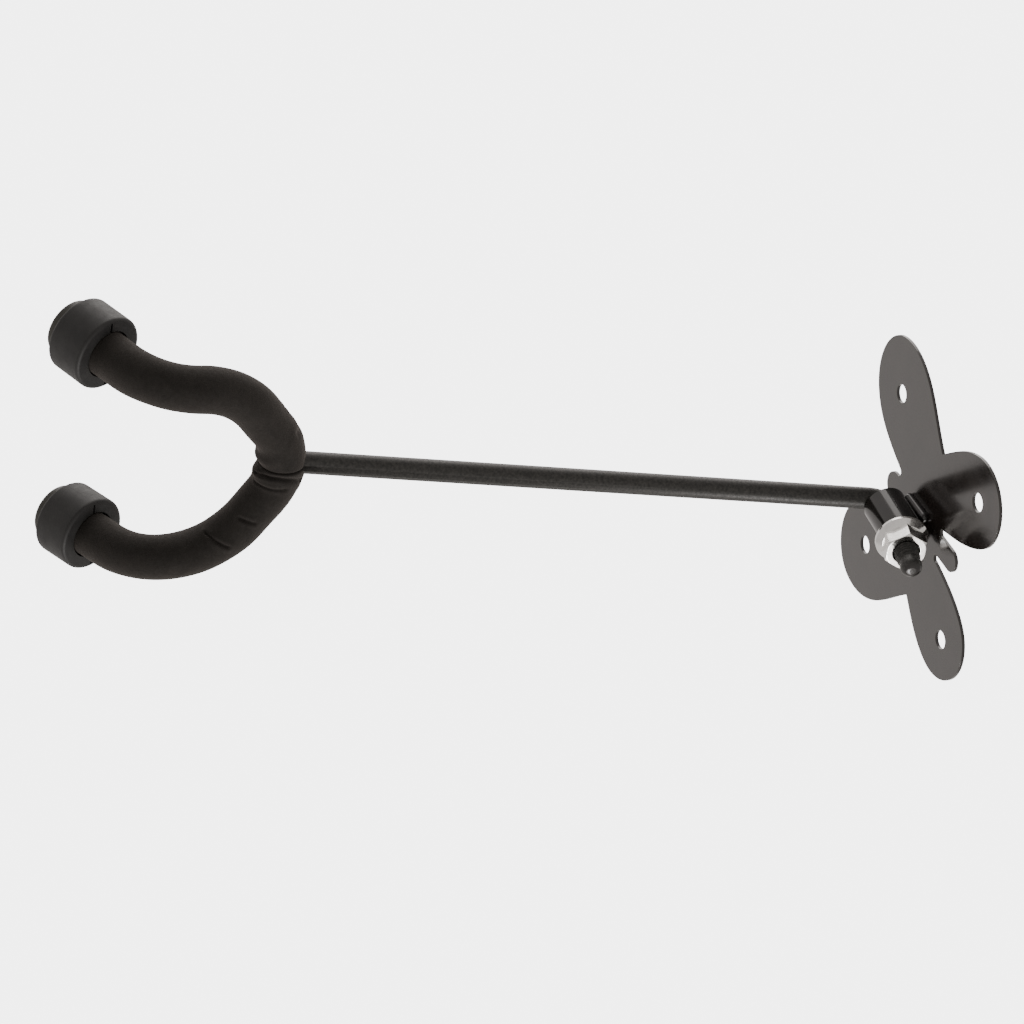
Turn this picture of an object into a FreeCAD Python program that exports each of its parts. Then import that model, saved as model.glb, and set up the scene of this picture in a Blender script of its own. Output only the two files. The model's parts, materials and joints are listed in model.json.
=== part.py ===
import FreeCAD, Part
import math
import os

import Sketcher

# Wall guitar hanger. Millimetres. The wall is the plane Y = 0 and the hanger stands out along -Y.
# +Z is up, and the origin is the middle of the wall plate's back face.
# A short tube is welded to the plate. The arm is a rod whose end is bent down through the tube with play,
# so that it turns there like a gate hinge, and a flange nut on its threaded end keeps it in.

DIMENSIONS = {
    # wall plate
    "plate_thickness": 1.1,
    "upper_hole_offset": 32.05,
    "upper_hole_height": 29.15,
    "lower_hole_offset": 28.5,
    "lower_hole_height": 29.15,
    "screw_hole_radius": 3.25,
    "head_tab_width": 9.7,
    "head_tab_top": 25.3,
    "tail_tab_width": 7.9,
    "tail_tab_bottom": 26.5,
    # pivot tube: middle of its top rim, and how far its lower end leans away from the wall
    "tube_top_depth": 9.45,
    "tube_top_height": 10.55,
    "tube_lean": 3.5,
    "tube_length": 16.85,
    "tube_radius": 7.3,
    "tube_bore_radius": 6.3,
    "tube_chamfer": 0.4,
    "tube_weld_radius": 1.85,
    "tube_weld_offset": 3.75,
    "tube_weld_depth": 2.1,
    "tube_weld_length": 11.0,
    # arm: where the nut seats on the leg, the leg's lean, and the arm's swing at rest
    "seat_depth": 12.0,
    "seat_drop": 8.2,
    "leg_lean": 14.0,
    "arm_swing": 3.0,
    "rod_radius": 3.75,
    "leg_straight": 15.15,
    "elbow_radius": 6.6,
    "elbow_turn": 92.5,
    "rod_straight": 200.0,
    "thread_radius": 3.98,
    "thread_start": 0.9,
    "thread_length": 5.4,
    "neck_radius": 3.2,
    "neck_length": 1.55,
    "point_radius": 3.65,
    "point_length": 4.4,
    "point_round": 2.6,
    # flange nut
    "nut_height": 8.0,
    "nut_bore_radius": 4.03,
    "nut_across_flats": 13.0,
    "nut_flange_radius": 8.95,
    "nut_flange_edge": 1.0,
    "nut_flange_rise": 1.6,
    "nut_cone_radius": 6.9,
    "nut_chamfer_reach": 6.6,
    "nut_chamfer_drop": 0.9,
    "nut_countersink": 0.7,
    "nut_turn": -4.0,
    # yoke bar
    "bar_radius": 3.5,
    "yoke_pitch": 8.0,
    "yoke_splay": 37.5,
    "yoke_corner_radius": 20.0,
    "yoke_straight": 10.4,
    "yoke_bend_radius": 30.05,
    "yoke_spread": 7.6,
    "yoke_run": 0.55,
    "tip_bend_radius": 22.65,
    "tip_turn": 67.3,
    "tip_length": 19.0,
    # foam tubes
    "foam_radius": 7.6,
    "foam_bore_radius": 3.55,
    "foam_end": 16.3,
    "foam_parting": 0.15,
    # end caps, measured along the bar's straight tip
    "cap_start": 7.6,
    "cap_length": 14.1,
    "cap_radius": 12.7,
    "cap_round": 1.2,
    "cap_mouth_radius": 8.15,
    "cap_mouth_depth": 9.25,
    "cap_bore_radius": 3.55,
    "cap_recess_radius": 6.6,
    "cap_recess_depth": 1.75,
    "slit_width": 0.8,
    "slit_depth": 3.3,
    "slit_reach": 11.5,
    # plugs
    "plug_radius": 9.6,
    "plug_height": 4.2,
    "plug_round": 1.1,
    # weld between rod and yoke bar
    "weld_collar_radius": 5.7,
    "weld_radius": 4.1,
    "weld_length": 5.2,
    "weld_clearance": 0.1,
}

SHEET = "Dimensions"
CUTTER_REACH = 400.0  # longer than the hanger, for the blocks that trim a piece
SIDES = {"right": 1, "left": -1}

doc = FreeCAD.newDocument("wall_guitar_hanger")


# ---------------------------------------------------------------- sheet and helpers

def make_sheet():
    """Put every driving dimension in the sheet, one row each, with its name as the alias."""
    sheet = doc.addObject("Spreadsheet::Sheet", SHEET)
    for row, (name, value) in enumerate(DIMENSIONS.items(), start=1):
        sheet.set("A%d" % row, name)
        sheet.set("B%d" % row, str(value))
        sheet.setAlias("B%d" % row, name)
    doc.recompute()
    return sheet


sheet = make_sheet()


def size(name):
    """Read one driving dimension from the sheet."""
    return float(sheet.get(name))


def cell(name):
    """Return the expression that reads one driving dimension."""
    return "%s.%s" % (SHEET, name)


def total(*terms):
    """Return the value and the expression of a sum of dimensions; a leading minus subtracts one."""
    value = 0.0
    expression = "0"
    for term in terms:
        name = term.lstrip("-")
        sign = -1 if term.startswith("-") else 1
        value += sign * size(name)
        expression += (" - " if sign < 0 else " + ") + cell(name)
    return value, expression


def bind(thing, **expressions):
    """Bind properties of an object to expressions over the sheet."""
    for prop, expression in expressions.items():
        thing.setExpression(prop, expression)
    return thing


def new_body(label):
    """Make an empty PartDesign body with its label."""
    body = doc.addObject("PartDesign::Body", label)
    body.Label = label
    return body


def new_sketch(body, role, name):
    """Make a sketch on one of the body's own origin planes."""
    sketch = body.newObject("Sketcher::SketchObject", name)
    plane = next(feature for feature in body.Origin.OriginFeatures if feature.Role == role)
    sketch.AttachmentSupport = [(plane, "")]
    sketch.MapMode = "FlatFace"
    return sketch


def pin(sketch, geometry, position, x_total, y_total):
    """Hold a sketch point at coordinates that follow the sheet."""
    for kind, (value, expression) in (("DistanceX", x_total), ("DistanceY", y_total)):
        if expression == "0":
            axis = -2 if kind == "DistanceX" else -1
            sketch.addConstraint(Sketcher.Constraint("PointOnObject", geometry, position, axis))
            continue
        index = sketch.addConstraint(Sketcher.Constraint(kind, geometry, position, value))
        sketch.setExpression("Constraints[%d]" % index, expression)


def add_profile(sketch, corners):
    """Draw a closed straight-sided profile whose corners follow the sheet."""
    points = [FreeCAD.Vector(x[0], y[0], 0) for x, y in corners]
    ends = points[1:] + points[:1]
    lines = [sketch.addGeometry(Part.LineSegment(start, end)) for start, end in zip(points, ends)]
    for line, following in zip(lines, lines[1:] + lines[:1]):
        sketch.addConstraint(Sketcher.Constraint("Coincident", line, 2, following, 1))
    for line, (x_total, y_total) in zip(lines, corners):
        pin(sketch, line, 1, x_total, y_total)


def add_circle(sketch, x_total, y_total, radius_name):
    """Draw a circle whose centre and radius follow the sheet."""
    centre = FreeCAD.Vector(x_total[0], y_total[0], 0)
    circle = sketch.addGeometry(Part.Circle(centre, FreeCAD.Vector(0, 0, 1), size(radius_name)))
    pin(sketch, circle, 3, x_total, y_total)
    index = sketch.addConstraint(Sketcher.Constraint("Radius", circle, size(radius_name)))
    sketch.setExpression("Constraints[%d]" % index, cell(radius_name))


def turned(body, name, corners):
    """Turn a profile (radius, height) about the body's Z axis."""
    sketch = new_sketch(body, "XZ_Plane", name + "_profile")
    add_profile(sketch, corners)
    feature = body.newObject("PartDesign::Revolution", name)
    feature.Profile = sketch
    feature.ReferenceAxis = (sketch, ["V_Axis"])
    feature.Angle = 360
    return feature


def round_circles(body, name, kind, base, wanted, radius_name):
    """Fillet or chamfer the circular edges whose (radius, height) are wanted."""
    doc.recompute()
    edges = []
    for index, edge in enumerate(base.Shape.Edges, start=1):
        curve = edge.Curve
        if not isinstance(curve, Part.Circle):
            continue
        for radius, height in wanted:
            if abs(curve.Radius - radius) < 1e-3 and abs(curve.Center.z - height) < 1e-3:
                edges.append("Edge%d" % index)
    feature = body.newObject("PartDesign::" + kind, name)
    feature.Base = (base, edges)
    prop = "Radius" if kind == "Fillet" else "Size"
    feature.setExpression(prop, cell(radius_name))
    return feature


def primitive(kind, label, **expressions):
    """Make a Part primitive whose sizes follow the sheet."""
    thing = doc.addObject("Part::" + kind, label)
    thing.Label = label
    return bind(thing, **expressions)


def boolean(kind, label, base, tool):
    """Make a Part::Cut or Part::Common of two objects."""
    result = doc.addObject("Part::" + kind, label)
    result.Label = label
    result.Base = base
    result.Tool = tool
    return result


def fused(label, shapes):
    """Join several objects into one."""
    result = doc.addObject("Part::MultiFuse", label)
    result.Label = label
    result.Shapes = shapes
    return result


# ---------------------------------------------------------------- frames of reference

def tilted_frame(depth, height, lean):
    """Frame in the middle plane whose Z axis leans, so that its lower end is further from the wall."""
    tilt = FreeCAD.Rotation(FreeCAD.Vector(1, 0, 0), -lean)
    return FreeCAD.Placement(FreeCAD.Vector(0, -depth, height), tilt)


def tube_frame():
    """The pivot tube's frame: Z up along the tube, from the middle of its top rim."""
    return tilted_frame(size("tube_top_depth"), size("tube_top_height"), size("tube_lean"))


def swing():
    """Turn of the whole arm about the tube's axis."""
    frame = tube_frame()
    turn = FreeCAD.Placement(FreeCAD.Vector(), FreeCAD.Rotation(FreeCAD.Vector(0, 0, 1), size("arm_swing")))
    return frame.multiply(turn).multiply(frame.inverse())


def leg_frame():
    """The leg's frame before the swing: Z up along the leg, from the point where the nut seats."""
    return tilted_frame(size("seat_depth"), -size("seat_drop"), size("leg_lean"))


def rod_in_leg_frame():
    """Start, direction and end of the rod's straight run, in the leg's frame."""
    turn = math.radians(size("elbow_turn"))
    direction = FreeCAD.Vector(0, -math.sin(turn), math.cos(turn))
    radius = size("elbow_radius")
    rise = size("leg_straight") + radius * math.sin(turn)
    start = FreeCAD.Vector(0, -radius * (1 - math.cos(turn)), rise)
    return start, direction, start + direction * size("rod_straight")


def rod_frame(back=0.0):
    """The rod's frame before the swing: Z along the rod, from a point short of the bar's middle."""
    _, direction, end = rod_in_leg_frame()
    leg = leg_frame()
    direction = leg.Rotation.multVec(direction)
    tilt = FreeCAD.Rotation(FreeCAD.Vector(0, 0, 1), direction)
    return FreeCAD.Placement(leg.multVec(end) - direction * back, tilt)


def arc_edge(start, heading, side, radius, angle):
    """An arc that leaves start along heading and turns towards side; returns edge, end and heading."""
    def place(turn):
        turn = math.radians(turn)
        return start + heading * (radius * math.sin(turn)) + side * (radius * (1 - math.cos(turn)))

    end = place(angle)
    turn = math.radians(angle)
    new_heading = heading * math.cos(turn) + side * math.sin(turn)
    return Part.Arc(start, place(angle / 2), end).toShape(), end, new_heading


def line_edge(start, heading, length):
    """A straight run; returns edge and end."""
    end = start + heading * length
    return Part.LineSegment(start, end).toShape(), end


def half_yoke():
    """Centre line of the right half of the yoke bar, up to the foot of its straight tip.

    It leaves the middle sideways, swings out round the neck gap and then bends up. Before the swing.
    """
    pitch = math.radians(size("yoke_pitch"))
    across = FreeCAD.Vector(1, 0, 0)
    outward = FreeCAD.Vector(0, -math.cos(pitch), -math.sin(pitch))
    up = across.cross(outward) * -1
    splay = size("yoke_splay")

    edges = []
    edge, point, heading = arc_edge(rod_frame().Base, across, outward, size("yoke_corner_radius"), splay)
    edges.append(edge)
    edge, point = line_edge(point, heading, size("yoke_straight"))
    edges.append(edge)
    side = heading.cross(up)
    bend = 90 - splay - size("yoke_spread")
    edge, point, heading = arc_edge(point, heading, side, size("yoke_bend_radius"), bend)
    edges.append(edge)
    edge, point = line_edge(point, heading, size("yoke_run"))
    edges.append(edge)
    edge, point, heading = arc_edge(point, heading, up, size("tip_bend_radius"), size("tip_turn"))
    edges.append(edge)
    return edges, point, heading


def mirrored(shape):
    """Mirror a shape across the hanger's middle plane."""
    return shape.mirror(FreeCAD.Vector(0, 0, 0), FreeCAD.Vector(1, 0, 0))


def tip_frame(side, along=0.0):
    """Frame of one upturned tip, swung with the arm: Z along the straight tip, from its foot."""
    _, foot, heading = half_yoke()
    origin = foot + heading * along
    origin.x *= side
    direction = FreeCAD.Vector(heading.x * side, heading.y, heading.z)
    tilt = FreeCAD.Rotation(FreeCAD.Vector(0, 0, 1), direction)
    return swing().multiply(FreeCAD.Placement(origin, tilt))


def swept(edges, radius):
    """Sweep a disc along a chain of tangent edges."""
    path = Part.Wire(Part.__sortEdges__(edges))
    first = path.OrderedEdges[0]
    start = first.valueAt(first.FirstParameter)
    heading = first.tangentAt(first.FirstParameter)
    if (start - path.OrderedVertexes[0].Point).Length > 1e-6:
        start = first.valueAt(first.LastParameter)
        heading = first.tangentAt(first.LastParameter) * -1
    disc = Part.Wire(Part.makeCircle(radius, start, heading))
    return path.makePipeShell([disc], True, False)


# ---------------------------------------------------------------- wall plate

# Right half of the plate's outline in (X, Z): the two wings, each from the notch to the waist.
UPPER_WING = ((8.1, 19.1), (12.8, 30.1), (19.4, 39.8), (29.7, 46.1), (40.7, 45.9), (49.0, 39.5),
              (51.4, 30.0), (46.6, 15.7), (37.2, 5.0), (29.4, -3.3))
LOWER_WING = ((29.4, -3.3), (36.2, -11.2), (41.2, -19.6), (43.0, -27.9), (40.7, -35.8), (34.5, -41.7),
              (27.0, -43.5), (19.0, -40.8), (13.0, -33.3), (9.4, -24.9), (6.6, -15.0))
HEAD_NOTCH = ((5.3, 19.5), (6.7, 18.0))
TAIL_NOTCH = ((5.0, -13.4), (4.5, -14.7))


def wing_curve(points, side):
    """Smooth curve through the points of one wing."""
    curve = Part.BSplineCurve()
    curve.interpolate([FreeCAD.Vector(side * x, z, 0) for x, z in points])
    return curve


def tab_curve(side, notch, root, width, tip, direction):
    """Half of a rounded tab: its quarter round, its straight side and the round of the notch."""
    half = width / 2
    centre = tip - direction * half
    corner = math.sqrt(0.5) * half
    top = FreeCAD.Vector(0, tip, 0)
    round_mid = FreeCAD.Vector(side * corner, centre + direction * corner, 0)
    round_end = FreeCAD.Vector(side * half, centre, 0)
    straight_end = FreeCAD.Vector(side * half, notch[0][1], 0)
    notch_mid = FreeCAD.Vector(side * notch[1][0], notch[1][1], 0)
    notch_end = FreeCAD.Vector(side * root[0], root[1], 0)
    return [
        Part.Arc(top, round_mid, round_end),
        Part.LineSegment(round_end, straight_end),
        Part.Arc(straight_end, notch_mid, notch_end),
    ]


def plate_outline():
    """All the curves of the butterfly outline, both halves."""
    head = (HEAD_NOTCH, UPPER_WING[0], size("head_tab_width"), size("head_tab_top"), 1)
    tail_notch = (TAIL_NOTCH[1], TAIL_NOTCH[0])
    tail = (tail_notch, LOWER_WING[-1], size("tail_tab_width"), -size("tail_tab_bottom"), -1)
    curves = []
    for side in SIDES.values():
        curves += tab_curve(side, *head)
        curves += [wing_curve(UPPER_WING, side), wing_curve(LOWER_WING, side)]
        curves += tab_curve(side, *tail)
    return curves


def make_wall_plate():
    """Stamped butterfly plate with four screw holes, its back on the wall."""
    body = new_body("wall_plate")
    outline = new_sketch(body, "XZ_Plane", "plate_outline")
    for curve in plate_outline():
        index = outline.addGeometry(curve)
        outline.addConstraint(Sketcher.Constraint("Block", index))
    pad = body.newObject("PartDesign::Pad", "plate_sheet")
    pad.Profile = outline
    bind(pad, Length=cell("plate_thickness"))

    holes = new_sketch(body, "XZ_Plane", "screw_holes")
    for sign in ("", "-"):
        add_circle(holes, total(sign + "upper_hole_offset"), total("upper_hole_height"), "screw_hole_radius")
        add_circle(holes, total(sign + "lower_hole_offset"), total("-lower_hole_height"), "screw_hole_radius")
    doc.recompute()
    solid_volume = pad.Shape.Volume
    pocket = body.newObject("PartDesign::Pocket", "screw_hole_pocket")
    pocket.Profile = holes
    pocket.Type = "ThroughAll"
    pocket.Midplane = True
    doc.recompute()
    hole_area = 4 * math.pi * size("screw_hole_radius") ** 2
    check_removed("screw holes", solid_volume - pocket.Shape.Volume, hole_area * size("plate_thickness"))
    return body


def check_removed(what, removed, expected):
    """Stop if a cut took away something other than what it should."""
    if abs(removed - expected) > 0.02 * expected:
        raise RuntimeError("%s removed %.2f mm3, not %.2f" % (what, removed, expected))


# ---------------------------------------------------------------- pivot tube and its welds

def make_pivot_tube():
    """Short tube that the arm's leg turns in."""
    body = new_body("pivot_tube")
    bottom = total("-tube_length")
    tube = turned(body, "tube_wall", [
        (total("tube_bore_radius"), bottom), (total("tube_radius"), bottom),
        (total("tube_radius"), total()), (total("tube_bore_radius"), total()),
    ])
    rims = [(size("tube_radius"), bottom[0]), (size("tube_radius"), 0.0)]
    round_circles(body, "tube_rims", "Chamfer", tube, rims, "tube_chamfer")
    body.Placement = tube_frame()
    return body


def wall_space(label):
    """Everything behind the plate's front face, as a block to cut with."""
    block = primitive("Box", label)
    block.Length = CUTTER_REACH
    block.Width = CUTTER_REACH
    block.Height = CUTTER_REACH
    block.Placement.Base = FreeCAD.Vector(-CUTTER_REACH / 2, -size("plate_thickness"), -CUTTER_REACH / 2)
    return block


def tube_space(label):
    """The tube's outer cylinder, as a tool to cut the welds with."""
    tool = primitive("Cylinder", label, Radius=cell("tube_radius"), Height=cell("tube_length"))
    tool.Placement = tube_frame().multiply(FreeCAD.Placement(FreeCAD.Vector(0, 0, -size("tube_length")),
                                                             FreeCAD.Rotation()))
    return tool


def make_tube_weld(name, side):
    """Weld bead in the corner between the tube's back and the plate."""
    bead = primitive("Cylinder", name + "_bead", Radius=cell("tube_weld_radius"),
                     Height=cell("tube_weld_length"))
    middle = size("tube_top_height") - size("tube_length") / 2
    foot = middle - size("tube_weld_length") / 2
    bead.Placement.Base = FreeCAD.Vector(side * size("tube_weld_offset"), -size("tube_weld_depth"), foot)
    ends = []
    for height in (0.0, size("tube_weld_length")):
        end = primitive("Sphere", name + "_end", Radius=cell("tube_weld_radius"))
        end.Placement.Base = bead.Placement.Base + FreeCAD.Vector(0, 0, height)
        ends.append(end)
    bead_and_ends = fused(name + "_run", [bead] + ends)
    trimmed = boolean("Cut", name + "_trimmed", bead_and_ends, wall_space(name + "_wall"))
    return boolean("Cut", name, trimmed, tube_space(name + "_tube"))


# ---------------------------------------------------------------- arm rod and nut

def add_rod_path(sketch):
    """Leg, elbow and rod centre line in the leg's frame; its lengths and bend follow the sheet."""
    start, _, end = rod_in_leg_frame()
    turn = math.radians(size("elbow_turn"))
    radius = size("elbow_radius")
    knee = FreeCAD.Vector(0, size("leg_straight"), 0)
    centre = FreeCAD.Vector(-radius, knee.y, 0)
    leg = sketch.addGeometry(Part.LineSegment(FreeCAD.Vector(0, 0, 0), knee))
    bow = sketch.addGeometry(Part.ArcOfCircle(Part.Circle(centre, FreeCAD.Vector(0, 0, 1), radius), 0, turn))
    rod = sketch.addGeometry(Part.LineSegment(FreeCAD.Vector(start.y, start.z, 0),
                                              FreeCAD.Vector(end.y, end.z, 0)))
    sketch.addConstraint(Sketcher.Constraint("Coincident", leg, 1, -1, 1))
    sketch.addConstraint(Sketcher.Constraint("Vertical", leg))
    sketch.addConstraint(Sketcher.Constraint("Tangent", leg, 2, bow, 1))
    sketch.addConstraint(Sketcher.Constraint("Tangent", bow, 2, rod, 1))
    sizes = (
        (Sketcher.Constraint("Distance", leg, size("leg_straight")), cell("leg_straight")),
        (Sketcher.Constraint("Radius", bow, radius), cell("elbow_radius")),
        (Sketcher.Constraint("Distance", rod, size("rod_straight")), cell("rod_straight")),
        (Sketcher.Constraint("Angle", rod, turn + math.pi / 2), "1 deg * (90 + %s)" % cell("elbow_turn")),
    )
    for constraint, expression in sizes:
        index = sketch.addConstraint(constraint)
        sketch.setExpression("Constraints[%d]" % index, expression)


def add_threaded_end(body):
    """Rolled thread, undercut neck and rounded dog point at the leg's lower end."""
    zero = total()
    top = total("thread_start")
    thread_end = total("thread_start", "-thread_length", "-nut_height")
    neck_end = total("thread_start", "-thread_length", "-nut_height", "-neck_length")
    point_end = total("thread_start", "-thread_length", "-nut_height", "-neck_length", "-point_length")
    end = turned(body, "threaded_end", [
        (zero, point_end), (total("point_radius"), point_end),
        (total("point_radius"), neck_end), (total("neck_radius"), neck_end),
        (total("neck_radius"), thread_end), (total("thread_radius"), thread_end),
        (total("thread_radius"), top), (zero, top),
    ])
    round_circles(body, "point_rounding", "Fillet", end,
                  [(size("point_radius"), point_end[0])], "point_round")


def make_arm_rod():
    """One rod: straight run, elbow, and the leg with its threaded end; coped round the yoke bar."""
    body = new_body("arm_rod")
    section = new_sketch(body, "XY_Plane", "rod_section")
    add_circle(section, total(), total(), "rod_radius")
    path = new_sketch(body, "YZ_Plane", "rod_path")
    add_rod_path(path)
    doc.recompute()
    pipe = body.newObject("PartDesign::AdditivePipe", "rod_pipe")
    pipe.Profile = section
    pipe.Spine = (path, ["Edge1", "Edge2", "Edge3"])
    doc.recompute()
    add_threaded_end(body)
    doc.recompute()

    volume = body.Shape.Volume
    cope = new_sketch(body, "YZ_Plane", "rod_cope")
    _, _, end = rod_in_leg_frame()
    bar = Part.Circle(FreeCAD.Vector(end.y, end.z, 0), FreeCAD.Vector(0, 0, 1), size("bar_radius"))
    circle = cope.addGeometry(bar)
    index = cope.addConstraint(Sketcher.Constraint("Radius", circle, size("bar_radius")))
    cope.setExpression("Constraints[%d]" % index, cell("bar_radius"))
    cope.addConstraint(Sketcher.Constraint("DistanceX", circle, 3, end.y))
    cope.addConstraint(Sketcher.Constraint("DistanceY", circle, 3, end.z))
    pocket = body.newObject("PartDesign::Pocket", "rod_cope_pocket")
    pocket.Profile = cope
    pocket.Type = "ThroughAll"
    pocket.Midplane = True
    doc.recompute()
    if pocket.Shape.Volume > volume - 1:
        raise RuntimeError("the cope for the yoke bar cut nothing")
    body.Placement = swing().multiply(leg_frame())
    return body


def make_flange_nut():
    """Hexagon nut with a conical flange, its flange up against the tube."""
    body = new_body("flange_nut")
    bottom = total("-nut_height")
    bore = total("nut_bore_radius")
    hexagon = new_sketch(body, "XY_Plane", "nut_hexagon")
    corner = size("nut_across_flats") / math.sqrt(3)
    for index in range(6):
        ends = [math.radians(60 * step) for step in (index, index + 1)]
        start, end = [FreeCAD.Vector(corner * math.cos(a), corner * math.sin(a), 0) for a in ends]
        line = hexagon.addGeometry(Part.LineSegment(start, end))
        hexagon.addConstraint(Sketcher.Constraint("Block", line))
    add_circle(hexagon, total(), total(), "nut_bore_radius")
    pad = body.newObject("PartDesign::Pad", "nut_hexagon_pad")
    pad.Profile = hexagon
    pad.Reversed = True
    bind(pad, Length=cell("nut_height"))
    cone_end = total("-nut_flange_edge", "-nut_flange_rise")
    turned(body, "nut_flange", [
        (bore, total()), (total("nut_flange_radius"), total()),
        (total("nut_flange_radius"), total("-nut_flange_edge")),
        (total("nut_cone_radius"), cone_end), (bore, cone_end),
    ])
    doc.recompute()
    volume = body.Shape.Volume
    corner_profile = new_sketch(body, "XZ_Plane", "nut_corner_profile")
    outer = total("nut_flange_radius")
    add_profile(corner_profile, [
        (total("nut_chamfer_reach"), bottom), (outer, bottom),
        (outer, total("-nut_height", "nut_chamfer_drop")),
    ])
    add_profile(corner_profile, [
        (bore, bottom), (total("nut_bore_radius", "nut_countersink"), bottom),
        (bore, total("-nut_height", "nut_countersink")),
    ])
    groove = body.newObject("PartDesign::Groove", "nut_corner_chamfer")
    groove.Profile = corner_profile
    groove.ReferenceAxis = (corner_profile, ["V_Axis"])
    groove.Angle = 360
    doc.recompute()
    if groove.Shape.Volume > volume - 0.1:
        raise RuntimeError("the nut's corner chamfer cut nothing")
    turn = FreeCAD.Placement(FreeCAD.Vector(), FreeCAD.Rotation(FreeCAD.Vector(0, 0, 1), size("nut_turn")))
    body.Placement = swing().multiply(leg_frame()).multiply(turn)
    return body


def bar_space(label):
    """The middle of the yoke bar, as a tool to cut the weld with."""
    tool = doc.addObject("Part::Feature", label)
    edges, _, _ = half_yoke()
    tool.Shape = swept([mirrored(edges[0]), edges[0]], size("bar_radius"))
    return tool


def make_yoke_weld():
    """Collar of weld between rod and yoke bar."""
    collar = primitive("Cone", "yoke_collar", Radius1=cell("weld_collar_radius"), Radius2=cell("weld_radius"),
                       Height=cell("weld_length"))
    rod_end = rod_frame()
    back = FreeCAD.Rotation(FreeCAD.Vector(1, 0, 0), 180)
    collar.Placement = FreeCAD.Placement(rod_end.Base, rod_end.Rotation.multiply(back))
    rod = primitive("Cylinder", "yoke_weld_rod", Radius=cell("rod_radius"),
                    Height="2 * " + cell("weld_length"))
    rod.Placement = rod_frame(2 * size("weld_length"))
    trimmed = boolean("Cut", "yoke_weld_trimmed", collar, bar_space("yoke_weld_bar"))
    weld = boolean("Cut", "yoke_weld", trimmed, rod)
    weld.Placement = swing()
    return weld


# ---------------------------------------------------------------- yoke, foam, caps

def make_yoke_bar():
    """One bent bar from tip to tip."""
    edges, foot, heading = half_yoke()
    tip, _ = line_edge(foot, heading, size("tip_length"))
    half = edges + [tip]
    bar = doc.addObject("Part::Feature", "yoke_bar")
    bar.Label = "yoke_bar"
    bar.Shape = swept([mirrored(edge) for edge in half] + half, size("bar_radius"))
    bar.Placement = swing()
    return bar


def make_foam(name, side):
    """Foam tube from the middle of the yoke to inside the end cap."""
    edges, foot, heading = half_yoke()
    tip, _ = line_edge(foot, heading, size("foam_end"))
    run = edges + [tip]
    tube = swept(run, size("foam_radius")).cut(swept(run, size("foam_bore_radius")))
    corner = FreeCAD.Vector(size("foam_parting"), -CUTTER_REACH, -CUTTER_REACH)
    tube = tube.common(Part.makeBox(CUTTER_REACH, CUTTER_REACH, 2 * CUTTER_REACH, corner))
    entry_length = 2 * size("foam_radius")
    entry = Part.makeCylinder(size("rod_radius") + size("weld_clearance"), entry_length)
    entry.Placement = rod_frame(entry_length)
    pocket_length = size("weld_length") + size("weld_clearance")
    weld = Part.makeCylinder(size("weld_collar_radius") + size("weld_clearance"), pocket_length)
    weld.Placement = rod_frame(pocket_length)
    tube = tube.cut(entry).cut(weld)
    foam = doc.addObject("Part::Feature", name)
    foam.Label = name
    foam.Shape = tube if side > 0 else mirrored(tube)
    foam.Placement = swing()
    return foam


def make_end_cap(name, side):
    """Thick rubber ring: mouth for the foam, bore for the bar, recess for the plug, two slits."""
    body = new_body(name)
    zero = total()
    length = total("cap_length")
    mouth = total("cap_mouth_depth")
    recess = total("cap_length", "-cap_recess_depth")
    ring = turned(body, name + "_ring", [
        (total("cap_mouth_radius"), zero), (total("cap_radius"), zero),
        (total("cap_radius"), length), (total("cap_recess_radius"), length),
        (total("cap_recess_radius"), recess), (total("cap_bore_radius"), recess),
        (total("cap_bore_radius"), mouth), (total("cap_mouth_radius"), mouth),
    ])
    rims = [(size("cap_radius"), 0.0), (size("cap_radius"), length[0])]
    rounded = round_circles(body, name + "_rims", "Fillet", ring, rims, "cap_round")
    doc.recompute()
    volume = rounded.Shape.Volume
    slits = new_sketch(body, "XY_Plane", name + "_slits")
    reach = size("slit_reach")
    half = size("slit_width") / 2
    corners = [(-reach, -half), (reach, -half), (reach, half), (-reach, half)]
    points = [FreeCAD.Vector(x, y, 0) for x, y in corners]
    for index in range(4):
        line = slits.addGeometry(Part.LineSegment(points[index], points[(index + 1) % 4]))
        slits.addConstraint(Sketcher.Constraint("Block", line))
    pocket = body.newObject("PartDesign::Pocket", name + "_slit_pocket")
    pocket.Profile = slits
    pocket.Reversed = True
    bind(pocket, Length=cell("slit_depth"))
    doc.recompute()
    slit_area = 2 * size("slit_width") * (reach - size("cap_mouth_radius"))
    check_removed("cap slits", volume - pocket.Shape.Volume, slit_area * size("slit_depth"))
    body.Placement = tip_frame(side, size("cap_start"))
    return body


def make_cap_plug(name, side):
    """Disc on the cap's outer end, with a spigot in the cap's recess."""
    body = new_body(name)
    zero = total()
    spigot = total("-cap_recess_depth")
    disc = turned(body, name + "_disc", [
        (zero, spigot), (total("cap_recess_radius"), spigot), (total("cap_recess_radius"), zero),
        (total("plug_radius"), zero), (total("plug_radius"), total("plug_height")),
        (zero, total("plug_height")),
    ])
    rim = [(size("plug_radius"), size("plug_height"))]
    round_circles(body, name + "_rim", "Fillet", disc, rim, "plug_round")
    body.Placement = tip_frame(side, size("cap_start") + size("cap_length"))
    return body


# ---------------------------------------------------------------- build, check, write

def build_parts():
    """Build every sub-part and return them by node name."""
    makers = (make_wall_plate, make_pivot_tube, make_arm_rod, make_flange_nut, make_yoke_bar, make_yoke_weld)
    parts = [maker() for maker in makers]
    for name, side in SIDES.items():
        parts.append(make_tube_weld("tube_weld_" + name, side))
        parts.append(make_foam("foam_" + name, side))
        parts.append(make_end_cap("end_cap_" + name, side))
        parts.append(make_cap_plug("cap_plug_" + name, side))
    doc.recompute()
    return parts


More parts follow.
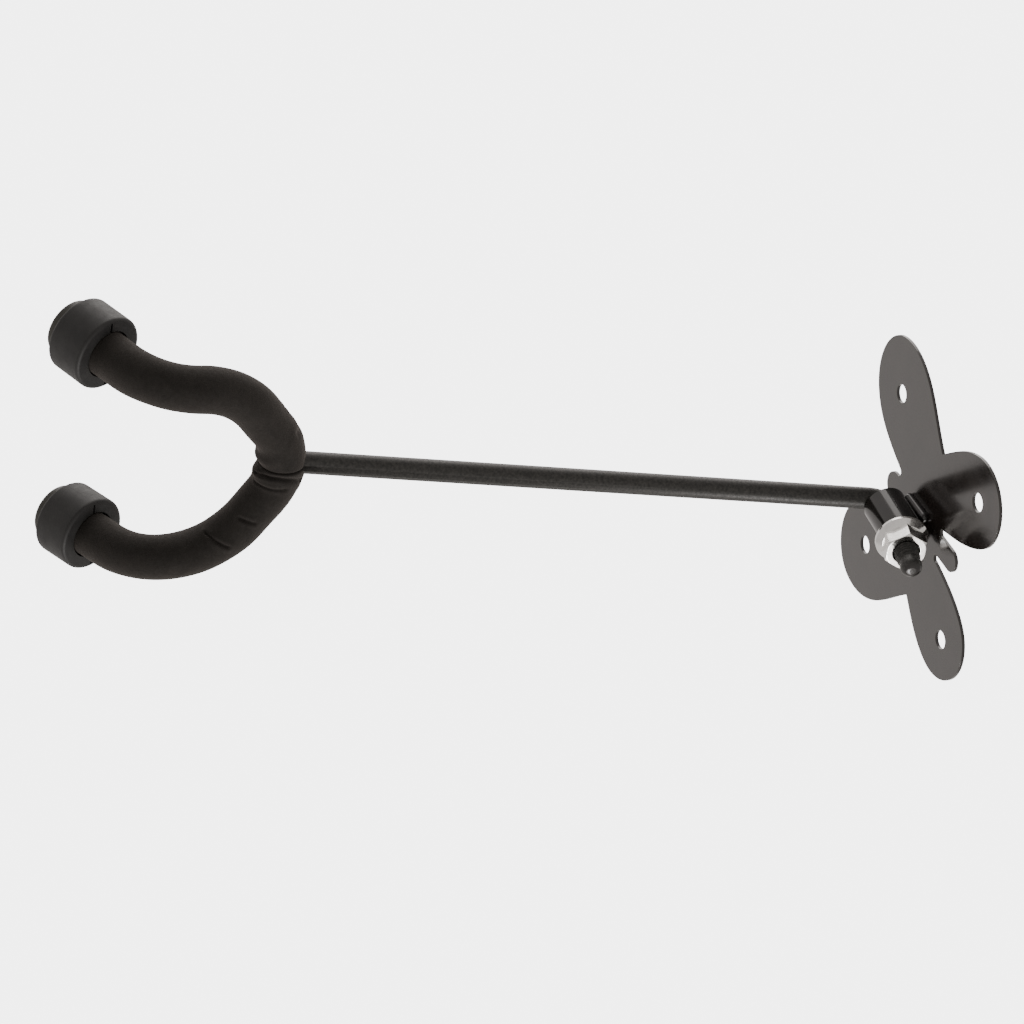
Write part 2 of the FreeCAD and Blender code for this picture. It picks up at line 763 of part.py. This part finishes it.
def check_document(parts):
    """Stop on any failed object or any sub-part that isn't one valid solid."""
    for thing in doc.Objects:
        if "Invalid" in thing.State or "Error" in thing.State:
            raise RuntimeError("%s failed: %s" % (thing.Name, thing.State))
    for part in parts:
        shape = part.Shape
        if shape.isNull() or not shape.isValid() or len(shape.Solids) != 1:
            raise RuntimeError("%s: null, invalid or %d solids" % (part.Label, len(shape.Solids)))


def write_parts(parts):
    """Write each sub-part to its own STEP file."""
    os.makedirs("parts", exist_ok=True)
    for part in parts:
        part.Shape.exportStep("parts/%s.step" % part.Label)
        print("%-16s %10.2f mm3" % (part.Label, part.Shape.Volume))


hanger_parts = build_parts()
check_document(hanger_parts)
write_parts(hanger_parts)
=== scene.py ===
import json
import math

import bmesh
import bpy
import numpy as np
from mathutils import Matrix, Vector, noise


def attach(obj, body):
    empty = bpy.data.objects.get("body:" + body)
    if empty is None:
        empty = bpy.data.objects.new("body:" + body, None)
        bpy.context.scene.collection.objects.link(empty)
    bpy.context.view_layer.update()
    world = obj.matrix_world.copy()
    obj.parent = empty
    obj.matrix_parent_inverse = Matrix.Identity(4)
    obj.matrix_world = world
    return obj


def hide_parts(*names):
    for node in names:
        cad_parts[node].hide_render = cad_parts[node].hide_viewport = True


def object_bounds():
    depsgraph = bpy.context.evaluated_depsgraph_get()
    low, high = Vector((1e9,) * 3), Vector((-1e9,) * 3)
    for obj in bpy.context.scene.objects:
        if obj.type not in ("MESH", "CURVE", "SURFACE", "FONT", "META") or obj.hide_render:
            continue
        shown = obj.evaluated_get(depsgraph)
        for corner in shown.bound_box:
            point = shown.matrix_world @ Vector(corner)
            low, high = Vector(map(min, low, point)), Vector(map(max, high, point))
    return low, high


# Looks of the wall guitar hanger. The wall is the plane Y = 0, the hanger stands out along -Y, +Z is up.
# Sizes below are millimetres and degrees; meshes are scaled to metres when they are made.

MM = 0.001

# leg, elbow, rod and yoke: the centre line that the foam follows, before the arm's swing
SEAT_DEPTH = 12.0
SEAT_DROP = 8.2
LEG_LEAN = 14.0
LEG_STRAIGHT = 15.15
ELBOW_RADIUS = 6.6
ELBOW_TURN = 92.5
ROD_STRAIGHT = 200.0
ARM_SWING = 3.0
YOKE_PITCH = 8.0
YOKE_SPLAY = 37.5
YOKE_CORNER_RADIUS = 20.0
YOKE_STRAIGHT = 10.4
YOKE_BEND_RADIUS = 30.05
YOKE_SPREAD = 7.6
YOKE_RUN = 0.55
TIP_BEND_RADIUS = 22.65
TIP_TURN = 67.3

# foam tube
FOAM_RADIUS = 7.6
FOAM_BORE_RADIUS = 3.6
FOAM_TIP = 16.1
FOAM_PARTING = 0.12
FOAM_STEP = 0.34
FOAM_AROUND = 144
FOAM_BORE_RINGS = 24
FOAM_END_ROUND = 0.7
FOAM_WAVE = 0.16
FOAM_WAVE_LENGTH = 11.0
FOAM_WAVE_SHIFT = 10.0

# raised lip beside a crease: height as a share of the crease's depth, the rest in half widths of the crease
LIP_SHARE = 0.25
LIP_PLACE = 2.6
LIP_SPREAD = 1.6

# threaded end of the leg, below the nut's seat
THREAD_START = 0.9
THREAD_END = -12.5
THREAD_RADIUS = 3.98
THREAD_DEPTH = 0.7
THREAD_PITCH = 1.25
NECK_RADIUS = 3.2
NECK_END = -14.05
POINT_RADIUS = 3.62
POINT_END = -18.4
POINT_ROUND = 2.6
THREAD_STEP = 0.07
THREAD_AROUND = 96
FLANK_STEEPNESS = 1.35
CREST_FLAT = 0.15
RUN_IN_DROP = 0.25
RUN_OUT_TURNS = 0.3
NECK_SLOPE = 0.35

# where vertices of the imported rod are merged, and edges sharper than this stay sharp
MERGE_DISTANCE = 0.001
SHARP_EDGE = 35.0

# the camera stands below, in front and to the right, and looks up along the rod
CAMERA_PLACE = Vector((0.4898, -0.4075, -0.5976))
CAMERA_FORWARD = Vector((-0.58352, 0.32166, 0.74568))
CAMERA_UP = Vector((0.80419, 0.10101, 0.58573))
CAMERA_LENS = 89.93
CAMERA_NEAR = 0.01

# surroundings and floor, in metres; the room is dim on one side, so that gloss has something to show
FLOOR_HEIGHT = -1.6
FLOOR_HALF_WIDTH = 6.0
BACKDROP = 5.0
DIM_SIDE = -CAMERA_FORWARD
BRIGHT_WALL = (0.90, 0.85, 0.82, 1)
DIM_WALL = (0.26, 0.25, 0.24, 1)
BRIGHT_END = 0.25
DIM_END = 0.80

# soft lights: name, place, size, power and colour; all aim at the middle of the hanger
LIGHTS = (
    ("low", (-1.0, -0.35, -1.1), 1.0, 9.0, (1.0, 0.94, 0.91)),
    ("high", (0.55, 0.30, 1.05), 1.2, 9.0, (1.0, 0.96, 0.93)),
    ("nut_glint", (-0.62, -0.17, -0.85), 0.3, 3.0, (1.0, 1.0, 1.0)),
)
LIGHT_TOP = Vector((0, 1, 0.01))

# noise values that a material's variation runs between, and rays of the rounded-edge look
NOISE_LOW = 0.3
NOISE_HIGH = 0.7
EDGE_SAMPLES = 8


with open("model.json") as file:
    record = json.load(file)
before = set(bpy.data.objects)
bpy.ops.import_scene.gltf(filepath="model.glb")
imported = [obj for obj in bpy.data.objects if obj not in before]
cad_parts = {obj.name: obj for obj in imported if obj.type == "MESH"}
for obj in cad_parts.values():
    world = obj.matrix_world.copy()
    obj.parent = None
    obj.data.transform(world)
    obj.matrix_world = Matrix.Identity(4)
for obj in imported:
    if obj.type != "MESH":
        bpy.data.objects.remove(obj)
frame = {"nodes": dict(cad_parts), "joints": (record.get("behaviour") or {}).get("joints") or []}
cad_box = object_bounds()
joints = {joint["name"]: joint for joint in frame["joints"]}


# ---------------------------------------------------------------- vectors and the yoke's centre line

def unit(vector):
    """The same direction with length one."""
    vector = np.asarray(vector, float)
    return vector / np.linalg.norm(vector)


def turned_about(points, axis, degrees, centre=(0.0, 0.0, 0.0)):
    """Turn points about an axis through a centre."""
    turn = math.radians(degrees)
    axis = unit(axis)
    offset = np.asarray(points, float) - centre
    along = (offset @ axis)[..., None] * axis
    across = np.cross(axis, offset)
    return centre + offset * math.cos(turn) + across * math.sin(turn) + along * (1 - math.cos(turn))


def swung(points):
    """Turn points, in millimetres, about the pivot tube's axis by the arm's swing at rest."""
    hinge = joints["arm_swing"]
    return turned_about(points, hinge["axis"], ARM_SWING, np.array(hinge["pos_m"]) / MM)


def rod_end():
    """The point where the rod's centre line meets the yoke bar's."""
    turn = math.radians(ELBOW_TURN)
    back = ELBOW_RADIUS * (1 - math.cos(turn)) + ROD_STRAIGHT * math.sin(turn)
    rise = LEG_STRAIGHT + ELBOW_RADIUS * math.sin(turn) + ROD_STRAIGHT * math.cos(turn)
    leaned = turned_about(np.array([0.0, -back, rise]), (1, 0, 0), -LEG_LEAN)
    return leaned + np.array([0.0, -SEAT_DEPTH, -SEAT_DROP])


def arc_run(start, heading, side, radius, degrees):
    """Points, headings and turns along an arc that leaves start along heading and turns towards side."""
    count = max(2, round(radius * math.radians(degrees) / FOAM_STEP))
    turns = np.radians(np.linspace(0, degrees, count + 1))[1:, None]
    points = start + radius * (np.sin(turns) * heading + (1 - np.cos(turns)) * side)
    return points, np.cos(turns) * heading + np.sin(turns) * side, turns


def line_run(start, heading, length):
    """Points along a straight run."""
    count = max(2, round(length / FOAM_STEP))
    steps = np.linspace(0, length, count + 1)[1:, None]
    return start + steps * heading, np.repeat(heading[None], count, 0)


def yoke_line():
    """Centre line of the right half of the yoke: points, headings and the direction that starts as up."""
    pitch = math.radians(YOKE_PITCH)
    across = np.array([1.0, 0.0, 0.0])
    outward = np.array([0.0, -math.cos(pitch), -math.sin(pitch)])
    up = np.cross(outward, across)
    start = rod_end()
    points, headings, ups = [start[None]], [across[None]], [up[None]]

    def add(run_points, run_headings, run_ups=None):
        points.append(run_points)
        headings.append(run_headings)
        ups.append(np.repeat(up[None], len(run_points), 0) if run_ups is None else run_ups)
        return run_points[-1], run_headings[-1]

    run = arc_run(start, across, outward, YOKE_CORNER_RADIUS, YOKE_SPLAY)
    place, heading = add(*run[:2])
    place, heading = add(*line_run(place, heading, YOKE_STRAIGHT))
    bend = 90 - YOKE_SPLAY - YOKE_SPREAD
    run = arc_run(place, heading, np.cross(heading, up), YOKE_BEND_RADIUS, bend)
    place, heading = add(*run[:2])
    place, heading = add(*line_run(place, heading, YOKE_RUN))
    run_points, run_headings, turns = arc_run(place, heading, up, TIP_BEND_RADIUS, TIP_TURN)
    tip_ups = np.cos(turns) * up - np.sin(turns) * heading
    place, heading = add(run_points, run_headings, tip_ups)
    run_points, run_headings = line_run(place, heading, FOAM_TIP)
    add(run_points, run_headings, np.repeat(tip_ups[-1:], len(run_points), 0))
    return np.vstack(points), np.vstack(headings), np.vstack(ups)


# ---------------------------------------------------------------- meshes

def ring_mesh(name, rings, wrapped):
    """Mesh through rings of points in millimetres; its ends are joined when wrapped, else capped."""
    count, around = rings.shape[:2]
    index = np.arange(count * around).reshape(count, around)
    rows = index if not wrapped else np.vstack([index, index[:1]])
    low, high = rows[:-1], rows[1:]
    quads = np.stack([low, np.roll(low, -1, 1), np.roll(high, -1, 1), high], -1).reshape(-1, 4)
    faces = quads.tolist()
    if not wrapped:
        faces += [index[0][::-1].tolist(), index[-1].tolist()]
    mesh = bpy.data.meshes.new(name)
    mesh.from_pydata((rings.reshape(-1, 3) * MM).tolist(), [], faces)
    mesh.shade_smooth()
    return mesh


def outward_faces(mesh):
    """Make every face point out of its solid."""
    work = bmesh.new()
    work.from_mesh(mesh)
    bmesh.ops.recalc_face_normals(work, faces=work.faces)
    work.to_mesh(mesh)
    work.free()
    return mesh


def add_piece(name, mesh, body, materials):
    """Put a mesh in the scene as a piece that rides on a body."""
    piece = bpy.data.objects.new(name, mesh)
    bpy.context.scene.collection.objects.link(piece)
    for material in materials:
        mesh.materials.append(material)
    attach(piece, body)
    return piece


# ---------------------------------------------------------------- material helpers

class Shader:
    """A Principled material that is built up from noise in object space."""

    def __init__(self, name, **sockets):
        self.material = bpy.data.materials.new(name)
        self.material.use_nodes = True
        self.nodes = self.material.node_tree.nodes
        self.links = self.material.node_tree.links
        self.bsdf = self.nodes["Principled BSDF"]
        for socket, value in sockets.items():
            self.bsdf.inputs[socket.replace("_", " ")].default_value = value
        self.place = self.nodes.new("ShaderNodeTexCoord").outputs["Object"]
        self.normal = None

    def noise(self, grain, detail=3.0, rough=0.55):
        """Noise whose features are about grain millimetres across."""
        node = self.nodes.new("ShaderNodeTexNoise")
        node.inputs["Scale"].default_value = 1 / (grain * MM)
        node.inputs["Detail"].default_value = detail
        node.inputs["Roughness"].default_value = rough
        self.links.new(self.place, node.inputs["Vector"])
        return node.outputs["Fac"]

    def cells(self, grain):
        """Distance to the nearest of many scattered points about grain millimetres apart."""
        node = self.nodes.new("ShaderNodeTexVoronoi")
        node.inputs["Scale"].default_value = 1 / (grain * MM)
        self.links.new(self.place, node.inputs["Vector"])
        return node.outputs["Distance"]

    def spread(self, value, low, high):
        """Map a noise value to low..high."""
        node = self.nodes.new("ShaderNodeMapRange")
        node.inputs["From Min"].default_value = NOISE_LOW
        node.inputs["From Max"].default_value = NOISE_HIGH
        node.inputs["To Min"].default_value = low
        node.inputs["To Max"].default_value = high
        self.links.new(value, node.inputs["Value"])
        return node.outputs["Result"]

    def colours(self, value, first, second):
        """Let the base colour run from first to second with a value."""
        node = self.nodes.new("ShaderNodeValToRGB")
        node.color_ramp.elements[0].position = NOISE_LOW
        node.color_ramp.elements[0].color = (*first, 1)
        node.color_ramp.elements[1].position = NOISE_HIGH
        node.color_ramp.elements[1].color = (*second, 1)
        self.links.new(value, node.inputs["Fac"])
        self.links.new(node.outputs["Color"], self.bsdf.inputs["Base Color"])

    def roughness(self, value, low, high):
        """Let the roughness run from low to high with a value."""
        self.links.new(self.spread(value, low, high), self.bsdf.inputs["Roughness"])

    def bump(self, value, height):
        """Add relief of a height in millimetres on top of what is there."""
        node = self.nodes.new("ShaderNodeBump")
        node.inputs["Distance"].default_value = height * MM
        node.inputs["Strength"].default_value = 1.0
        self.links.new(value, node.inputs["Height"])
        if self.normal is not None:
            self.links.new(self.normal, node.inputs["Normal"])
        self.normal = node.outputs["Normal"]
        self.links.new(self.normal, self.bsdf.inputs["Normal"])

    def soft_edges(self, radius):
        """Round the look of sharp edges by a radius in millimetres."""
        node = self.nodes.new("ShaderNodeBevel")
        node.samples = EDGE_SAMPLES
        node.inputs["Radius"].default_value = radius * MM
        self.normal = node.outputs["Normal"]
        self.links.new(self.normal, self.bsdf.inputs["Normal"])


def plate_paint():
    """Satin-gloss black enamel on the flat sheet, with faint orange peel and dust."""
    shader = Shader("plate_paint", IOR=1.58, Coat_Weight=0.35, Coat_Roughness=0.10)
    shader.soft_edges(0.25)
    shader.colours(shader.noise(9.0), (0.0095, 0.0074, 0.0064), (0.0175, 0.0138, 0.0120))
    shader.roughness(shader.noise(5.0, 5.0), 0.14, 0.21)
    shader.bump(shader.noise(1.5, 2.0), 0.004)
    shader.bump(shader.noise(0.12, 1.0), 0.0012)
    return shader.material


def gloss_paint(name, low, high):
    """Gloss black paint on tube and rod."""
    shader = Shader(name, IOR=1.5, Coat_Weight=0.25, Coat_Roughness=0.05)
    shader.colours(shader.noise(7.0), (0.006, 0.0055, 0.005), (0.012, 0.0104, 0.0095))
    shader.roughness(shader.noise(6.0, 3.0), low, high)
    shader.bump(shader.noise(6.0, 1.0), 0.004)
    return shader.material


def black_oxide():
    """Blackened, slightly oily thread."""
    shader = Shader("black_oxide", IOR=1.5, Metallic=0.25)
    shader.colours(shader.noise(0.9, 4.0), (0.012, 0.012, 0.011), (0.045, 0.043, 0.040))
    shader.roughness(shader.noise(0.6, 4.0), 0.32, 0.55)
    shader.bump(shader.noise(0.25, 3.0), 0.02)
    return shader.material


def foam_skin():
    """Matte closed-cell foam: fine pores, soft mottling and a dry sheen."""
    shader = Shader("foam_skin", IOR=1.4, Sheen_Weight=0.15, Sheen_Roughness=0.55)
    shader.bsdf.inputs["Sheen Tint"].default_value = (0.85, 0.76, 0.70, 1)
    shader.bsdf.inputs["Specular IOR Level"].default_value = 0.25
    shader.colours(shader.noise(3.5, 6.0, 0.65), (0.0105, 0.0094, 0.0083), (0.0180, 0.0160, 0.0143))
    shader.roughness(shader.noise(1.0), 0.72, 0.92)
    shader.bump(shader.noise(0.9, 5.0, 0.7), 0.10)
    shader.bump(shader.cells(0.28), 0.045)
    return shader.material


def cap_rubber():
    """Satin moulded rubber with a fine spark-eroded grain."""
    shader = Shader("cap_rubber", IOR=1.5)
    shader.bsdf.inputs["Specular IOR Level"].default_value = 0.36
    shader.soft_edges(0.25)
    shader.colours(shader.noise(6.0, 5.0), (0.015, 0.0148, 0.0148), (0.024, 0.0236, 0.0232))
    shader.roughness(shader.noise(2.5, 4.0), 0.46, 0.58)
    shader.bump(shader.noise(0.35, 3.0), 0.016)
    return shader.material


def plug_plastic():
    """Olive-dark moulded plastic."""
    shader = Shader("plug_plastic", IOR=1.46)
    shader.soft_edges(0.2)
    shader.colours(shader.noise(4.0, 4.0), (0.022, 0.0214, 0.0165), (0.036, 0.0345, 0.0270))
    shader.roughness(shader.noise(1.5, 4.0), 0.34, 0.46)
    shader.bump(shader.noise(0.3, 3.0), 0.012)
    return shader.material


def bright_zinc():
    """Bright zinc plating over turned and pressed steel."""
    shader = Shader("bright_zinc", Metallic=1.0)
    shader.soft_edges(0.3)
    shader.colours(shader.noise(2.5, 5.0), (0.78, 0.775, 0.76), (0.92, 0.915, 0.90))
    shader.roughness(shader.noise(1.2, 5.0), 0.08, 0.22)
    shader.bump(shader.noise(2.4, 2.0), 0.025)
    shader.bump(shader.noise(0.2, 2.0), 0.003)
    return shader.material


def plain_steel():
    """Drawn steel bar, bare."""
    shader = Shader("plain_steel", Metallic=1.0)
    shader.colours(shader.noise(3.0, 4.0), (0.30, 0.29, 0.28), (0.42, 0.41, 0.40))
    shader.roughness(shader.noise(0.8, 4.0), 0.28, 0.42)
    return shader.material


# ---------------------------------------------------------------- foam tubes

# Pressed-in lines: each goes through points given as distance along the tube and angle round it, where
# 90 faces the neck gap and 180 faces down. The last two numbers are its depth and half width.
LEFT_CREASES = (
    (((38.6, 108), (36.6, 138), (34.0, 168)), 0.75, 0.55),
    (((23.4, 132), (22.6, 150), (21.7, 168)), 0.55, 0.5),
    (((10.0, 100), (8.6, 128), (7.6, 150), (6.2, 178)), 0.45, 0.5),
    (((4.9, 95), (3.0, 120), (2.2, 150), (2.4, 185), (4.0, 230)), 0.8, 0.7),
    (((15.5, -60), (14.6, -85), (15.2, -112)), 0.4, 0.6),
    (((27.5, -70), (26.8, -100)), 0.35, 0.55),
)
RIGHT_CREASES = (
    (((11.5, -75), (10.4, -100), (11.2, -130)), 0.35, 0.8),
    (((19.0, -75), (18.2, -105)), 0.35, 0.55),
    (((33.5, 40), (34.4, 65)), 0.25, 0.5),
)

# Slow swellings of each tube: middle and spread along it, and height, which is negative where it is thinner.
LEFT_SWELLS = ((12.0, 7.0, 0.10), (29.0, 6.0, 0.12), (62.0, 9.0, -0.12))
RIGHT_SWELLS = ((24.0, 9.0, 0.12), (60.0, 8.0, -0.15), (88.0, 4.0, 0.12))

# Both tubes are squeezed on the inside of the yoke's corner: distance, spread and height of the bulge.
CORNER_BULGE = (5.2, 4.0, 1.5)


def groove(distance, angle, crease):
    """Depth that one crease takes off the radius."""
    points, depth, half_width = crease
    route = np.array([(along, math.radians(degrees) * FOAM_RADIUS) for along, degrees in points])
    turn = 2 * math.pi * FOAM_RADIUS
    middle = route[:, 1].mean()
    bow = (angle * FOAM_RADIUS - middle + turn / 2) % turn - turn / 2 + middle
    here = np.stack([distance, bow], -1)
    nearest = np.full(distance.shape, np.inf)
    for start, end in zip(route[:-1], route[1:]):
        step = end - start
        share = np.clip((here - start) @ step / (step @ step), 0, 1)
        gap = np.linalg.norm(here - start - share[..., None] * step, axis=-1)
        nearest = np.minimum(nearest, gap)
    beside = (nearest - LIP_PLACE * half_width) / (LIP_SPREAD * half_width)
    lip = LIP_SHARE * depth * np.exp(-beside ** 2)
    return depth * np.exp(-(nearest / half_width) ** 2) - lip


def end_round(distance, length):
    """What the rounded ends of the tube take off the radius."""
    left = np.clip(np.minimum(distance, length - distance), 0, FOAM_END_ROUND)
    return FOAM_END_ROUND - np.sqrt(FOAM_END_ROUND ** 2 - (FOAM_END_ROUND - left) ** 2)


def waves(points, seed):
    """Slow unevenness of hand-fitted foam."""
    offset = Vector((seed, 0.0, 0.0))
    flat = points.reshape(-1, 3) / FOAM_WAVE_LENGTH
    values = [noise.noise(Vector(point) + offset) for point in flat]
    return FOAM_WAVE * np.array(values).reshape(points.shape[:2])


def foam_rings(side, creases, swells):
    """Rings of the foam tube's outside, then of its bore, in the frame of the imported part."""
    points, headings, ups = yoke_line()
    distance = np.concatenate([[0.0], np.cumsum(np.linalg.norm(np.diff(points, axis=0), axis=1))])
    points = points + headings * (FOAM_PARTING * (distance < FOAM_STEP))[:, None]
    outs = np.cross(headings, ups)
    angles = np.linspace(0, 2 * math.pi, FOAM_AROUND, endpoint=False)
    spokes = np.cos(angles)[None, :, None] * ups[:, None] + np.sin(angles)[None, :, None] * outs[:, None]
    along, around = np.meshgrid(distance, angles, indexing="ij")
    radius = np.full(along.shape, FOAM_RADIUS)
    for middle, spread, height in swells:
        radius += height * np.exp(-((along - middle) / spread) ** 2)
    middle, spread, height = CORNER_BULGE
    inside = np.clip(np.sin(around), 0, None) ** 2
    radius += height * inside * np.exp(-((along - middle) / spread) ** 2)
    for crease in creases:
        radius -= groove(along, around, crease)
    radius -= end_round(along, distance[-1])
    radius += waves(points[:, None] + spokes * FOAM_RADIUS, FOAM_WAVE_SHIFT * side)
    outside = points[:, None] + spokes * radius[..., None]
    picks = np.linspace(len(points) - 1, 0, FOAM_BORE_RINGS).round().astype(int)
    bore = points[picks][:, None] + spokes[picks] * FOAM_BORE_RADIUS
    rings = np.concatenate([outside, bore])
    return swung(rings * (side, 1, 1))


def make_foam(name, side, creases, swells, skin):
    """One foam tube with its creases, on the arm."""
    mesh = outward_faces(ring_mesh(name + "_tube", foam_rings(side, creases, swells), wrapped=True))
    piece = add_piece(name + "_tube", mesh, "arm", [skin])
    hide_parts(name)


# ---------------------------------------------------------------- rod with its threaded end

def thread_radius(height, angle):
    """Radius of the leg below the seat at a height and an angle: thread, neck and rounded point."""
    turns = height / THREAD_PITCH - angle / (2 * math.pi)
    from_crest = np.abs(2 * (turns - np.floor(turns + 0.5)))
    flank = np.clip(FLANK_STEEPNESS * from_crest - CREST_FLAT, 0, 1)
    run_in = np.clip((height - THREAD_END) / THREAD_PITCH, 0, 1)
    run_out = np.clip((THREAD_START - height) / (RUN_OUT_TURNS * THREAD_PITCH), 0, 1)
    thread = THREAD_RADIUS - THREAD_DEPTH * flank * run_out - RUN_IN_DROP * (1 - run_in)
    point_low = POINT_END + POINT_ROUND
    below = np.clip((point_low - height) / POINT_ROUND, 0, 1)
    point = POINT_RADIUS - POINT_ROUND * (1 - np.sqrt(1 - below ** 2))
    into_neck = np.clip((height - THREAD_END) / NECK_SLOPE, -1, 0) + 1
    out_of_neck = np.clip((NECK_END - height) / NECK_SLOPE, 0, 1)
    upper = NECK_RADIUS + (thread - NECK_RADIUS) * into_neck
    lower = NECK_RADIUS + (point - NECK_RADIUS) * out_of_neck
    radius = np.where(height >= THREAD_END - NECK_SLOPE, upper, NECK_RADIUS)
    return np.where(height <= NECK_END, lower, radius)


def leg_frame():
    """Matrix from the leg's own frame to the part: origin at the nut's seat, Z up along the leg."""
    seat = joints["nut_spin"]
    turn = Vector((0, 0, 1)).rotation_difference(Vector(seat["axis"]))
    return Matrix.Translation(Vector(seat["pos_m"])) @ turn.to_matrix().to_4x4()


def threaded_end():
    """Mesh of the leg's threaded end."""
    heights = np.arange(POINT_END, THREAD_START, THREAD_STEP)
    angles = np.linspace(0, 2 * math.pi, THREAD_AROUND, endpoint=False)
    up, around = np.meshgrid(heights, angles, indexing="ij")
    radius = thread_radius(up, around)
    rings = np.stack([radius * np.cos(around), radius * np.sin(around), up], -1)
    mesh = ring_mesh("threaded_end", rings, wrapped=False)
    mesh.transform(leg_frame())
    return mesh


def make_arm_rod(paint, oxide):
    """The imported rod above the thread, joined to a leg end with a real thread."""
    work = bmesh.new()
    work.from_mesh(frame["nodes"]["arm_rod"].data)
    bmesh.ops.remove_doubles(work, verts=work.verts, dist=MERGE_DISTANCE * MM)
    axis = leg_frame().to_3x3() @ Vector((0, 0, 1))
    cut = leg_frame() @ Vector((0, 0, (THREAD_START - 2 * THREAD_STEP) * MM))
    everything = work.verts[:] + work.edges[:] + work.faces[:]
    bmesh.ops.bisect_plane(work, geom=everything, plane_co=cut, plane_no=axis, clear_inner=True)
    bmesh.ops.holes_fill(work, edges=[edge for edge in work.edges if edge.is_boundary])
    for face in work.faces:
        face.material_index = 0
    count = len(work.faces)
    work.from_mesh(threaded_end())
    work.faces.ensure_lookup_table()
    for face in work.faces[count:]:
        face.material_index = 1
    for face in work.faces:
        face.smooth = True
    mesh = bpy.data.meshes.new("arm_rod_threaded")
    work.to_mesh(mesh)
    work.free()
    outward_faces(mesh)
    mesh.set_sharp_from_angle(angle=math.radians(SHARP_EDGE))
    piece = add_piece("arm_rod_threaded", mesh, "arm", [paint, oxide])
    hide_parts("arm_rod")


# ---------------------------------------------------------------- stage, light and camera

def look_matrix(place, forward, up):
    """Matrix of a camera or light that looks along forward."""
    forward = forward.normalized()
    right = forward.cross(up).normalized()
    top = right.cross(forward)
    turn = Matrix((right, top, -forward)).transposed()
    return Matrix.Translation(place) @ turn.to_4x4()


def make_camera():
    """Camera at the viewing angle."""
    data = bpy.data.cameras.new("camera")
    data.lens = CAMERA_LENS
    data.clip_start = CAMERA_NEAR
    camera = bpy.data.objects.new("camera", data)
    bpy.context.scene.collection.objects.link(camera)
    camera.matrix_world = look_matrix(CAMERA_PLACE, CAMERA_FORWARD, CAMERA_UP)
    bpy.context.scene.camera = camera


def make_light(name, place, size, power, colour):
    """Square soft light aimed at the middle of the hanger."""
    data = bpy.data.lights.new(name, "AREA")
    data.size = size
    data.energy = power
    data.color = colour
    light = bpy.data.objects.new(name, data)
    bpy.context.scene.collection.objects.link(light)
    low, high = (Vector(corner) for corner in cad_box)
    place = Vector(place)
    light.matrix_world = look_matrix(place, (low + high) / 2 - place, LIGHT_TOP)


def make_world():
    """White surroundings, dimmer on the side that the glossy parts face."""
    world = bpy.data.worlds.new("white_room")
    bpy.context.scene.world = world
    world.use_nodes = True
    nodes, links = world.node_tree.nodes, world.node_tree.links
    background = nodes["Background"]
    place = nodes.new("ShaderNodeTexCoord").outputs["Generated"]
    facing = nodes.new("ShaderNodeVectorMath")
    facing.operation = "DOT_PRODUCT"
    facing.inputs[1].default_value = DIM_SIDE
    links.new(place, facing.inputs[0])
    ramp = nodes.new("ShaderNodeValToRGB")
    ramp.color_ramp.interpolation = "EASE"
    ramp.color_ramp.elements[0].position = BRIGHT_END
    ramp.color_ramp.elements[0].color = BRIGHT_WALL
    ramp.color_ramp.elements[1].position = DIM_END
    ramp.color_ramp.elements[1].color = DIM_WALL
    links.new(facing.outputs["Value"], ramp.inputs["Fac"])
    seen = nodes.new("ShaderNodeLightPath").outputs["Is Camera Ray"]
    mix = nodes.new("ShaderNodeMix")
    mix.data_type = "RGBA"
    mix.inputs["B"].default_value = (BACKDROP, BACKDROP, BACKDROP, 1)
    links.new(seen, mix.inputs["Factor"])
    links.new(ramp.outputs["Color"], mix.inputs["A"])
    links.new(mix.outputs["Result"], background.inputs["Color"])


def make_floor():
    """Plain pale floor well below the wall-hung part."""
    mesh = bpy.data.meshes.new("floor")
    corners = np.array([(-1, -1), (1, -1), (1, 1), (-1, 1)]) * FLOOR_HALF_WIDTH
    mesh.from_pydata([(x, y, FLOOR_HEIGHT) for x, y in corners], [], [(0, 1, 2, 3)])
    floor = bpy.data.objects.new("floor", mesh)
    bpy.context.scene.collection.objects.link(floor)
    shader = Shader("pale_floor", Roughness=0.8)
    shader.colours(shader.noise(60.0), (0.60, 0.60, 0.595), (0.66, 0.66, 0.655))
    mesh.materials.append(shader.material)


# ---------------------------------------------------------------- the whole scene

def dress(node, material):
    """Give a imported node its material."""
    data = frame["nodes"][node].data
    data.materials.clear()
    data.materials.append(material)


def build():
    """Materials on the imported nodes, the detailed pieces, and the stage."""
    tube_paint = gloss_paint("tube_paint", 0.10, 0.20)
    rod_paint = gloss_paint("rod_paint", 0.16, 0.24)
    rubber, plastic, skin = cap_rubber(), plug_plastic(), foam_skin()
    dress("wall_plate", plate_paint())
    dress("flange_nut", bright_zinc())
    dress("yoke_bar", plain_steel())
    for node in ("pivot_tube", "tube_weld_right", "tube_weld_left"):
        dress(node, tube_paint)
    dress("yoke_weld", rod_paint)
    for side in ("right", "left"):
        dress("end_cap_" + side, rubber)
        dress("cap_plug_" + side, plastic)
    make_foam("foam_right", 1, RIGHT_CREASES, RIGHT_SWELLS, skin)
    make_foam("foam_left", -1, LEFT_CREASES, LEFT_SWELLS, skin)
    make_arm_rod(rod_paint, black_oxide())
    make_world()
    make_floor()
    for light in LIGHTS:
        make_light(*light)
    make_camera()


build()
